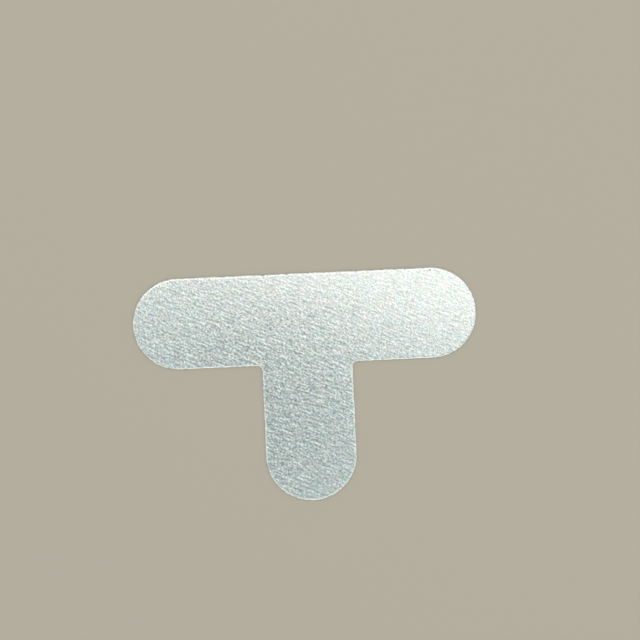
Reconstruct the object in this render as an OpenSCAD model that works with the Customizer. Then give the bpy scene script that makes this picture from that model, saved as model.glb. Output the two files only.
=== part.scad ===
// T-shaped connecting strip of nickel, punched in one piece from flat sheet.
// It lies on the XY plane: the bar runs along X and the stem towards -Y, with the origin
// on the underside, midway between the round pads at the bar's ends.

/* [Bar] */
// Length of the bar over its two round ends
bar_l = 27.2; // [24:0.1:60]
// Width of the bar, which sets the radius of its round ends
bar_w = 7.2; // [4:0.1:10]

/* [Stem] */
// Width of the stem, which sets the radius of its round tip
stem_w = 7.2; // [4:0.1:10]
// Height of the T, from the bar's far edge to the tip of the stem
tee_h = 18; // [16:0.1:40]

/* [Sheet] */
// Thickness of the nickel sheet
sheet_t = 0.15; // [0.1:0.01:0.3]
// Radius of the fillet in each inner corner
corner_r = 0.4; // [0.2:0.05:1]
// Radius of the roll-over that the punch leaves along the upper edge
roll_r = 0.03; // [0.01:0.01:0.04]

/* [Hidden] */
$fn = 128;

// Distance between the centres of the bar's round ends
pad_pitch = bar_l - bar_w;
// Distance from the bar's axis to the centre of the stem's round tip
stem_run = tee_h - bar_w / 2 - stem_w / 2;
// How far a corner fillet's block reaches into the bar and the stem
bite = corner_r;
// Extra height of a cut past the sheet's faces
cut_slack = 1;

// Half the section of an arm of width w, from its axis to its rolled-over edge
module half_section(w) {
    square([w / 2 - roll_r, sheet_t]);
    square([w / 2, sheet_t - roll_r]);
    translate([w / 2 - roll_r, sheet_t - roll_r]) circle(roll_r);
}

// Straight stretch of an arm along +X
module straight(w, run) {
    rotate([90, 0, 90]) linear_extrude(run) {
        half_section(w);
        mirror([1, 0]) half_section(w);
    }
}

// Half disc that closes an arm, bulging towards +X
module round_end(w) {
    rotate(-90) rotate_extrude(angle = 180) half_section(w);
}

// Bar with a round pad at each end
module bar() {
    translate([-pad_pitch / 2, 0, 0]) straight(bar_w, pad_pitch);
    for (side = [0, 1])
        mirror([side, 0, 0])
            translate([pad_pitch / 2, 0, 0]) round_end(bar_w);
}

// Stem from the bar's axis to its round tip
module stem() {
    rotate(-90) {
        straight(stem_w, stem_run);
        translate([stem_run, 0, 0]) round_end(stem_w);
    }
}

// Quarter hole of the fillet's radius, flared at the top by the roll-over
module fillet_hole() {
    rotate_extrude() difference() {
        translate([0, -cut_slack]) square([corner_r + roll_r, sheet_t + 2 * cut_slack]);
        translate([corner_r, -2 * cut_slack]) square([2 * roll_r, sheet_t - roll_r + 2 * cut_slack]);
        translate([corner_r + roll_r, sheet_t - roll_r]) circle(roll_r);
    }
}

// Fillet in the inner corner on the +X side of the stem
module corner_fillet() {
    translate([stem_w / 2 + corner_r, -bar_w / 2 - corner_r, 0])
        difference() {
            translate([-corner_r - bite, 0, 0])
                cube([corner_r + bite, corner_r + bite, sheet_t]);
            fillet_hole();
        }
}

module nickel_strip() {
    color("#cdd6d2") {
        bar();
        stem();
        for (side = [0, 1])
            mirror([side, 0, 0]) corner_fillet();
    }
}

nickel_strip();
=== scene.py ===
"""Looks of the T-shaped nickel strip: a rolled sheet with a punched edge, on a pale studio floor."""
import math

import bpy
import numpy as np
from mathutils import Matrix, Vector, noise
from mathutils.geometry import delaunay_2d_cdt


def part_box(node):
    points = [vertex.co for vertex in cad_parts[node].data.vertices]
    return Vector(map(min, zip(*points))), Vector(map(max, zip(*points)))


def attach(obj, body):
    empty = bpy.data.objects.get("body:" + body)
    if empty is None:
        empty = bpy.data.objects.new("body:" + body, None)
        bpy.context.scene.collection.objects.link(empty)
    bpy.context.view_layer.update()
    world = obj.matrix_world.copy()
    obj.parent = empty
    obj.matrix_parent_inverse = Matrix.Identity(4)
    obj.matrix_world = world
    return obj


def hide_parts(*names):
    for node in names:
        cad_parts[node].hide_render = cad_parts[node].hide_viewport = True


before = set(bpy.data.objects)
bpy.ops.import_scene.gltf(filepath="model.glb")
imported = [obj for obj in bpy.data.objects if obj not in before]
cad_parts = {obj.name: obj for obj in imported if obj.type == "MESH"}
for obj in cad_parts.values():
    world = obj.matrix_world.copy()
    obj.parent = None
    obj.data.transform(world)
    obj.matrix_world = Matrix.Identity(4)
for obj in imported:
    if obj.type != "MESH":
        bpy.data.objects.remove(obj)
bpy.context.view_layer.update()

# Lengths in this script are in millimetres, and this factor turns them into the frame's metres
MM = 0.001

# The strip's sizes, read from the frame, and the fillet of its two inner corners
strip_low, strip_high = (np.array(corner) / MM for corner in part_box("nickel_strip"))
END_R = strip_high[1]
PAD_X = strip_high[0] - END_R
TIP_Y = strip_low[1] + END_R
SHEET_T = strip_high[2] - strip_low[2]
CORNER_R = 0.4

# The punched edge: the spacing of its points, and the fewest of an arc and of a straight stretch
EDGE_STEP = 0.08
ARC_POINTS = 4
LINE_POINTS = 2
# How far the edge wanders inwards, the depth over which that fades, and its parts: (length, share, seed)
EDGE_WANDER = 0.04
EDGE_FADE = 0.12
WANDER_PARTS = ((0.25, 0.6, 3.7), (1.1, 0.4, 8.2))
# A small nick in the bar's far edge: where it is, how wide and how deep
NICK_X = -3.21
NICK_WIDTH = 0.12
NICK_DEPTH = 0.1
# Rings of the roll-over from the upper face outwards: (inset, drop below the face)
ROLL_RINGS = ((0.095, 0.0), (0.083, 0.003), (0.062, 0.01), (0.04, 0.021), (0.018, 0.034), (0.0, 0.056))
# Rings of the shear wall under the roll-over: (inset, height above the underside)
WALL_RINGS = ((0.0, 0.067), (0.006, 0.057), (0.012, 0.015), (0.022, 0.0))

# The two faces: the inset of the ring that bounds them, and the spacing of the points inside it
FACE_INSET = 0.2
FACE_PITCH = 0.3
# The triangulation's choice of the triangles inside the ring, and how close two points count as one
INSIDE_RING = 1
SAME_POINT = 1e-7
# The sheet is never quite flat: depth, length and strength of its soft waves, and each face's own seed
WAVE_DEPTH = 0.004
WAVE_LENGTH = 2.5
WAVE_GAIN = 0.7
UPPER_SEED = 1.3
UNDER_SEED = 21.8


def arc(centre, radius, start, end, inset_sign, inset):
    """Points of an arc whose radius shrinks (+1) or grows (-1) with the inset, without its last point."""
    count = max(ARC_POINTS, round(abs(math.radians(end - start)) * radius / EDGE_STEP))
    turns = np.radians(np.linspace(start, end, count, endpoint=False))
    reach = radius - inset_sign * inset
    return np.column_stack([centre[0] + reach * np.cos(turns), centre[1] + reach * np.sin(turns)])


def line(start, end, normal, inset):
    """Points of a straight edge moved against its outward normal, without its last point."""
    start, end, normal = (np.array(vector, float) for vector in (start, end, normal))
    count = max(LINE_POINTS, round(np.linalg.norm(end - start) / EDGE_STEP))
    shares = np.linspace(0, 1, count, endpoint=False)[:, None]
    return start + shares * (end - start) - inset * normal


def outline(inset):
    """Points of the T's edge, anticlockwise from the right pad's lower side, moved inwards by inset."""
    fillet_x = END_R + CORNER_R
    fillet_y = -END_R - CORNER_R
    return np.concatenate([
        arc((PAD_X, 0), END_R, -90, 90, 1, inset),
        line((PAD_X, END_R), (-PAD_X, END_R), (0, 1), inset),
        arc((-PAD_X, 0), END_R, 90, 270, 1, inset),
        line((-PAD_X, -END_R), (-fillet_x, -END_R), (0, -1), inset),
        arc((-fillet_x, fillet_y), CORNER_R, 90, 0, -1, inset),
        line((-END_R, fillet_y), (-END_R, TIP_Y), (-1, 0), inset),
        arc((0, TIP_Y), END_R, 180, 360, 1, inset),
        line((END_R, TIP_Y), (END_R, fillet_y), (1, 0), inset),
        arc((fillet_x, fillet_y), CORNER_R, 180, 90, -1, inset),
        line((fillet_x, -END_R), (PAD_X, -END_R), (0, -1), inset),
    ])


def smooth_noise(points, length, seed):
    """Smooth noise around 0 at each point, with forms of about the given length."""
    return np.array([noise.noise(Vector((x / length, y / length, seed))) for x, y in points])


def wander(points):
    """How far the punched edge falls short of its nominal line at each point, with the nick."""
    values = sum(share * smooth_noise(points, length, seed) for length, share, seed in WANDER_PARTS)
    along = (points[:, 0] - NICK_X) / NICK_WIDTH
    nick = NICK_DEPTH * np.exp(-along ** 2) * (points[:, 1] > 0)
    return EDGE_WANDER * np.clip(0.5 + values, 0, 1) + nick


def ring(inset):
    """A ring of the strip's edge at an inset, with the edge's wander fading inwards."""
    edge = outline(0)
    extra = wander(edge) * math.exp(-inset / EDGE_FADE)
    inwards = outline(1) - edge
    return outline(inset) + inwards * extra[:, None]


def wave(points, seed):
    """Depth of the sheet's soft waves at each point, from 0 to WAVE_DEPTH."""
    values = smooth_noise(points, WAVE_LENGTH, seed)
    return WAVE_DEPTH * np.clip(0.5 + WAVE_GAIN * values, 0, 1)


def inside(points, inset):
    """True for the points that lie in the T, at least inset from its edge."""
    x, y = np.abs(points[:, 0]), points[:, 1]
    reach = END_R - inset
    over_pad = np.maximum(x - PAD_X, 0)
    in_bar = over_pad ** 2 + y ** 2 < reach ** 2
    below_tip = np.maximum(TIP_Y - y, 0)
    in_stem = (y < 0) & (x ** 2 + below_tip ** 2 < reach ** 2)
    return in_bar | in_stem


def face_grid():
    """Grid points that lie inside the face's ring, at least half a pitch from it."""
    columns = np.arange(strip_low[0], strip_high[0], FACE_PITCH)
    rows = np.arange(strip_low[1], strip_high[1], FACE_PITCH)
    x, y = np.meshgrid(columns, rows)
    points = np.column_stack([x.ravel(), y.ravel()])
    return points[inside(points, FACE_INSET + FACE_PITCH / 2)]


def face_mesh():
    """Points of a face and its triangles: the ring at FACE_INSET first, then the grid inside it."""
    edge = ring(FACE_INSET)
    points = np.concatenate([edge, face_grid()])
    count = len(edge)
    edges = [(i, (i + 1) % count) for i in range(count)]
    corners = [Vector(point) for point in points]
    _, _, faces, sources, _, _ = delaunay_2d_cdt(corners, edges, [], INSIDE_RING, SAME_POINT)
    first = [source[0] for source in sources]
    return points, [tuple(first[i] for i in face) for face in faces]


def sheet_levels(points):
    """The strip's levels from the upper face down to the underside: (points, how far they are rim)."""
    levels = [(np.column_stack([points, SHEET_T - wave(points, UPPER_SEED)]), 0.0)]
    for inset, drop in ROLL_RINGS:
        edge = ring(inset)
        heights = SHEET_T - drop - wave(edge, UPPER_SEED)
        levels.append((np.column_stack([edge, heights]), 1 - inset / FACE_INSET))
    for inset, height in WALL_RINGS:
        edge = ring(inset)
        levels.append((np.column_stack([edge, np.full(len(edge), height)]), 1.0))
    levels.append((np.column_stack([points, wave(points, UNDER_SEED)]), 0.0))
    return levels


def sheet_faces(levels, triangles):
    """The strip's faces: the upper face, bands of quads between the levels' rings, and the underside."""
    starts = [0]
    for level, _ in levels[:-1]:
        starts.append(starts[-1] + len(level))
    count = len(outline(0))
    faces = list(triangles)
    for upper, lower in zip(starts, starts[1:]):
        for here in range(count):
            after = (here + 1) % count
            faces.append((upper + here, lower + here, lower + after, upper + after))
    faces += [tuple(starts[-1] + i for i in reversed(triangle)) for triangle in triangles]
    return faces


def build_sheet():
    """The strip as a mesh: two faces with soft waves, joined over the rolled and sheared edge."""
    points, triangles = face_mesh()
    levels = sheet_levels(points)
    corners = np.concatenate([level for level, _ in levels]) * MM
    shares = np.concatenate([np.full(len(level), share) for level, share in levels])
    mesh = bpy.data.meshes.new("strip_sheet")
    mesh.from_pydata(corners, [], sheet_faces(levels, triangles))
    mesh.polygons.foreach_set("use_smooth", np.ones(len(mesh.polygons), bool))
    rim = mesh.attributes.new("rim", "FLOAT", "POINT")
    rim.data.foreach_set("value", shares)
    mesh.validate()
    sheet = bpy.data.objects.new("strip_sheet", mesh)
    bpy.context.collection.objects.link(sheet)
    return sheet


# The Mix node's colour sockets by number, because their names repeat
MIX_FIRST = 6
MIX_SECOND = 7
MIX_RESULT = 2


class Nodes:
    """The node tree of a material or world, with short calls to add nodes and join them."""

    def __init__(self, owner):
        owner.use_nodes = True
        self.tree = owner.node_tree

    def add(self, kind, links=None, **settings):
        """A new node with its settings, and with its sockets set or linked."""
        node = self.tree.nodes.new(kind)
        for key, value in settings.items():
            setattr(node, key, value)
        for socket, source in (links or {}).items():
            self.set(node.inputs[socket], source)
        return node

    def set(self, socket, source):
        """Link a socket to another node's output, or set its value."""
        if isinstance(source, bpy.types.NodeSocket):
            self.tree.links.new(source, socket)
        else:
            socket.default_value = source

    def maths(self, operation, first, second=0.0):
        """The result of an operation on one or two numbers."""
        return self.add("ShaderNodeMath", {0: first, 1: second}, operation=operation).outputs[0]

    def vectors(self, operation, first, second, output="Vector"):
        """The result of an operation on two vectors."""
        node = self.add("ShaderNodeVectorMath", {0: first, 1: second}, operation=operation)
        return node.outputs[output]

    def add_share(self, value, other, share):
        """A value with a share of another one added."""
        return self.maths("ADD", value, self.maths("MULTIPLY", other, share))

    def span(self, value, low, high, to_low, to_high, steps="LINEAR"):
        """A value carried from one range to another, and held at the ends of it."""
        links = {"Value": value, "From Min": low, "From Max": high, "To Min": to_low, "To Max": to_high}
        return self.add("ShaderNodeMapRange", links, interpolation_type=steps).outputs["Result"]

    def noise(self, place, scale, detail, dimensions="2D"):
        """Smooth noise from 0 to 1."""
        links = {"Vector": place, "Scale": scale, "Detail": detail}
        return self.add("ShaderNodeTexNoise", links, noise_dimensions=dimensions).outputs["Fac"]

    def mix(self, share, first, second, blend="MIX"):
        """Two colours blended, with the second one's share."""
        node = self.add("ShaderNodeMix", data_type="RGBA", blend_type=blend)
        self.set(node.inputs["Factor"], share)
        self.set(node.inputs[MIX_FIRST], first)
        self.set(node.inputs[MIX_SECOND], second)
        return node.outputs[MIX_RESULT]


# The marks of the rolled grain: the direction of each kind from +X, its sizes along and across that,
# and how much its strong marks stand out from its weak ones
STREAK = (math.radians(-23.7), 0.98, 0.169, 0.5)
FLECK = (math.radians(-40.4), 0.249, 0.124, 0.2)
SPECKLE = (math.radians(-45.8), 0.081, 0.163, 0.0)
# How far a streak's painted shaded flank lies from its middle, and the depth of the streaks' relief
SHADE_FLANK = 0.095
RELIEF = 0.0024
# Shares of the speckles, the streaks and their shaded flanks in the grain's tone; the shaded flanks are
# painted shade, the relief's shaded side put into the colour. The flecks' share is 1.
SPECKLE_SHARE = 0.95
STREAK_SHARE = 1.28
SHADE_FLANK_SHARE = -0.43
# The tone that is fully light, as far above 0 as the fully dark one is below it,
# and the power that makes light flecks rarer than dark ones
TONE_RANGE = 0.65
TONE_POWER = 1.4
# The nickel's colours: its dark and light flecks, the rim's burnish together with its painted highlight,
# and the small marks
NICKEL_DARK = (0.379, 0.44, 0.428, 1)
NICKEL_LIGHT = (0.922, 1.0, 0.962, 1)
NICKEL_RIM_BURNISH_AND_HIGHLIGHT = (1.0, 0.945, 0.875, 1)
NICKEL_MARK = (0.2, 0.21, 0.21, 1)
# Dark flecks are smooth and mirror what is overhead, light ones are rough and scatter the room's light
DARK_ROUGH = 0.147
LIGHT_ROUGH = 0.302
# The clouds of tint: their size, how far a channel drifts in them, how far blue's lie from red's,
# and the finer noise in them
CLOUD = 0.8
TINT = 0.07
BLUE_SHIFT = 50.0
CLOUD_DETAIL = 1.0
# Where the rim starts and is full, from 0 on the face to 1 at the edge
RIM_SPAN = (0.55, 0.8)
# The stretches of the rim with burnish and painted highlight: their length, the finer noise in them,
# the noise at which they start and are full, and the share of burnish and painted highlight between them
BURNISH_AND_HIGHLIGHT = 0.28
BURNISH_AND_HIGHLIGHT_DETAIL = 1.0
BURNISH_AND_HIGHLIGHT_SPAN = (0.35, 0.6)
BURNISH_AND_HIGHLIGHT_LEAST = 0.1
# Small dark marks in the upper face, a pit and a bent scratch: from where to where, radius and strength
MARKS = (
    ((10.03, 3.38), (10.03, 3.38), 0.1, 0.9),
    ((7.05, 2.65), (7.67, 2.07), 0.06, 0.3),
    ((7.67, 2.07), (7.9, 1.3), 0.06, 0.2),
)
# Share of a mark's radius over which it has its full strength
MARK_CORE = 0.4


def grain_noise(nodes, place, marks, shift=0.0):
    """Noise around 0 for one kind of marks, moved across their direction by a shift."""
    turn, along, across, tail = marks
    links = {
        "Vector": place,
        "Location": Vector((-math.sin(turn), math.cos(turn), 0)) * shift * MM,
        "Rotation": (0, 0, turn),
        "Scale": (along * MM, across * MM, 1),
    }
    stretched = nodes.add("ShaderNodeMapping", links, vector_type="TEXTURE").outputs[0]
    even = nodes.maths("SUBTRACT", nodes.noise(stretched, scale=1.0, detail=0.0), 0.5)
    strength = nodes.maths("POWER", nodes.maths("ABSOLUTE", even), tail)
    return nodes.maths("MULTIPLY", even, strength)


def rolled_grain(nodes, place):
    """The grain's tone and its height, both around 0: flecks, fine speckles, long streaks, and painted
    shade on one flank of each streak.
    """
    streaks = grain_noise(nodes, place, STREAK)
    tone = nodes.add_share(grain_noise(nodes, place, FLECK), streaks, STREAK_SHARE)
    # Painted shade: a shifted copy of the streaks darkens one flank of each, as the relief's shaded side
    # would look
    tone = nodes.add_share(tone, grain_noise(nodes, place, STREAK, SHADE_FLANK), SHADE_FLANK_SHARE)
    tone = nodes.add_share(tone, grain_noise(nodes, place, SPECKLE), SPECKLE_SHARE)
    return tone, streaks


def tint_clouds(nodes, place):
    """Faint clouds of colour: red and blue each drift by a few per cent, apart from each other."""
    channels = {"Green": 1.0}
    for channel, shift in (("Red", 0.0), ("Blue", BLUE_SHIFT)):
        links = {"Vector": place, "Location": (shift * MM, 0, 0)}
        moved = nodes.add("ShaderNodeMapping", links).outputs[0]
        cloud = nodes.noise(moved, 1 / (CLOUD * MM), CLOUD_DETAIL)
        channels[channel] = nodes.span(cloud, 0.0, 1.0, 1 - TINT, 1 + TINT)
    return nodes.add("ShaderNodeCombineColor", channels).outputs[0]


def burnish_and_highlight(nodes, place):
    """How far the rim is burnished and carries its painted highlight, from place to place along it."""
    stretches = nodes.noise(place, 1 / (BURNISH_AND_HIGHLIGHT * MM), BURNISH_AND_HIGHLIGHT_DETAIL, "3D")
    return nodes.span(stretches, *BURNISH_AND_HIGHLIGHT_SPAN, BURNISH_AND_HIGHLIGHT_LEAST, 1.0)


def mark_share(nodes, place, start, end, radius, strength):
    """Strength of a mark along a line in the upper face, fading to 0 at its radius."""
    run = Vector(end) - Vector(start)
    origin = (start[0] * MM, start[1] * MM, SHEET_T * MM)
    links = {"Vector": place, "Location": origin, "Rotation": (0, 0, math.atan2(run.y, run.x))}
    local = nodes.add("ShaderNodeMapping", links, vector_type="TEXTURE").outputs[0]
    capped = nodes.vectors("MINIMUM", local, (run.length * MM, 0, 0))
    nearest = nodes.vectors("MAXIMUM", capped, (0, 0, 0))
    away = nodes.vectors("DISTANCE", local, nearest, "Value")
    return nodes.span(away, MARK_CORE * radius * MM, radius * MM, strength, 0.0)


def nickel_material():
    """Rolled nickel: bright and dark grain with relief and painted streak shade, faint clouds of tint,
    and a rim with burnish and painted highlight.
    """
    material = bpy.data.materials.new("rolled_nickel")
    nodes = Nodes(material)
    shader = nodes.tree.nodes["Principled BSDF"]
    place = nodes.add("ShaderNodeTexCoord").outputs["Object"]
    tone, height = rolled_grain(nodes, place)
    light = nodes.maths("POWER", nodes.span(tone, -TONE_RANGE, TONE_RANGE, 0.0, 1.0), TONE_POWER)
    colour = nodes.mix(light, NICKEL_DARK, NICKEL_LIGHT)
    colour = nodes.mix(1.0, colour, tint_clouds(nodes, place), "MULTIPLY")
    rim = nodes.add("ShaderNodeAttribute", attribute_name="rim").outputs["Fac"]
    rim_burnish_and_highlight = nodes.maths("MULTIPLY", nodes.span(rim, *RIM_SPAN, 0.0, 1.0), burnish_and_highlight(nodes, place))
    # Painted highlight: the rim is lightened to warm cream, partly burnish and partly the edge's
    # highlight put into the colour
    colour = nodes.mix(rim_burnish_and_highlight, colour, NICKEL_RIM_BURNISH_AND_HIGHLIGHT)
    for mark in MARKS:
        colour = nodes.mix(mark_share(nodes, place, *mark), colour, NICKEL_MARK)
    nodes.set(shader.inputs["Base Color"], colour)
    nodes.set(shader.inputs["Roughness"], nodes.span(light, 0.0, 1.0, DARK_ROUGH, LIGHT_ROUGH))
    relief = nodes.add("ShaderNodeBump", {"Height": height, "Distance": RELIEF * MM})
    nodes.set(shader.inputs["Normal"], relief.outputs[0])
    shader.inputs["Metallic"].default_value = 1.0
    return material


# The floor: its side, colour and roughness
FLOOR_SIDE = 3000.0
FLOOR_COLOUR = (0.42, 0.385, 0.31, 1)
FLOOR_ROUGH = 0.8


def floor_material():
    """A plain pale and matt floor."""
    material = bpy.data.materials.new("pale_floor")
    shader = Nodes(material).tree.nodes["Principled BSDF"]
    shader.inputs["Base Color"].default_value = FLOOR_COLOUR
    shader.inputs["Roughness"].default_value = FLOOR_ROUGH
    return material


def build_floor():
    """The floor that the strip lies on, which isn't part of the object."""
    bpy.ops.mesh.primitive_plane_add(size=FLOOR_SIDE * MM)
    floor = bpy.context.object
    floor.name = "floor"
    floor.data.materials.append(floor_material())


# The room's light, the same all round apart from a dark zone overhead, which the strip's stem mirrors:
# the zone's light and direction, and how far from its middle its edge starts and ends, in degrees
ROOM_LIGHT = 0.93
ROOM_COLOUR = (0.96, 1.0, 1.006, 1)
DARK_LIGHT = 0.14
DARK_AZIMUTH = 288.5
DARK_ELEVATION = 87.5
DARK_INNER = 1.75
DARK_OUTER = 3.95
# A warm softbox above the strip's far edge, and a plain one in front that lights its near edges:
# their directions in degrees, distances, sides, radiances and colours
KEY_LAMP = {
    "azimuth": 74.0,
    "elevation": 72.8,
    "distance": 151.0,
    "width": 158.0,
    "height": 79.5,
    "radiance": 0.775,
    "colour": (1.21, 1.0, 0.94),
}
FILL_LAMP = {
    "azimuth": 295.0,
    "elevation": 45.0,
    "distance": 300.0,
    "width": 300.0,
    "height": 160.0,
    "radiance": 0.42,
    "colour": (1.0, 1.0, 1.0),
}


def towards(azimuth, elevation):
    """Unit vector in a direction. Azimuth is counted from +X towards +Y, in degrees."""
    turn, rise = math.radians(azimuth), math.radians(elevation)
    return Vector((math.cos(rise) * math.cos(turn), math.cos(rise) * math.sin(turn), math.sin(rise)))


def softbox(name, azimuth, elevation, distance, width, height, radiance, colour):
    """An area lamp that faces the strip."""
    lamp = bpy.data.lights.new(name, "AREA")
    lamp.shape = "RECTANGLE"
    lamp.size = width * MM
    lamp.size_y = height * MM
    lamp.energy = radiance * math.pi * lamp.size * lamp.size_y
    lamp.color = colour
    direction = towards(azimuth, elevation)
    holder = bpy.data.objects.new(name, lamp)
    holder.location = direction * distance * MM
    holder.rotation_euler = direction.to_track_quat("Z", "Y").to_euler()
    holder.visible_camera = False
    bpy.context.collection.objects.link(holder)


def build_world():
    """The room's soft light, with its dark zone overhead."""
    world = bpy.data.worlds.new("studio")
    nodes = Nodes(world)
    direction = nodes.add("ShaderNodeTexCoord").outputs["Generated"]
    facing = nodes.vectors("DOT_PRODUCT", direction, towards(DARK_AZIMUTH, DARK_ELEVATION), "Value")
    edges = (math.cos(math.radians(DARK_OUTER)), math.cos(math.radians(DARK_INNER)))
    light = nodes.span(facing, *edges, ROOM_LIGHT, DARK_LIGHT, "SMOOTHSTEP")
    background = nodes.tree.nodes["Background"]
    background.inputs["Color"].default_value = ROOM_COLOUR
    nodes.set(background.inputs["Strength"], light)
    bpy.context.scene.world = world


def build_lights():
    """The room and the two softboxes."""
    build_world()
    softbox("key", **KEY_LAMP)
    softbox("fill", **FILL_LAMP)


# The camera: how far it is from the strip, its turns about X, Y and Z, how far it stands to the right of
# the frame's origin and above it in its own picture, and the nearest thing that it shows
CAMERA_DISTANCE = 150.0
CAMERA_TURNS = (math.radians(-0.378), math.radians(2.898), math.radians(2.63))
CAMERA_SHIFT = (1.1685, -0.1382)
CLIP_START = 5.0
# Its focal length and the image's side in pixels, and the width of its sensor
FOCAL_PIXELS = 1897.5
IMAGE_PIXELS = 640
SENSOR = 36.0


def build_camera():
    """A camera that looks almost straight down on the strip."""
    lens = bpy.data.cameras.new("camera")
    lens.sensor_width = SENSOR
    lens.lens = SENSOR * FOCAL_PIXELS / IMAGE_PIXELS
    lens.clip_start = CLIP_START * MM
    camera = bpy.data.objects.new("camera", lens)
    to_camera = Matrix.Identity(3)
    for turn, axis in zip(CAMERA_TURNS, "XYZ"):
        to_camera = to_camera @ Matrix.Rotation(turn, 3, axis)
    to_world = to_camera.transposed()
    place = to_world @ Vector((*CAMERA_SHIFT, CAMERA_DISTANCE)) * MM
    camera.matrix_world = Matrix.Translation(place) @ to_world.to_4x4()
    bpy.context.collection.objects.link(camera)
    bpy.context.scene.camera = camera


sheet = build_sheet()
sheet.data.materials.append(nickel_material())
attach(sheet, "root")
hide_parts("nickel_strip")

build_floor()
build_lights()
build_camera()
bpy.context.scene.view_settings.view_transform = "Standard"
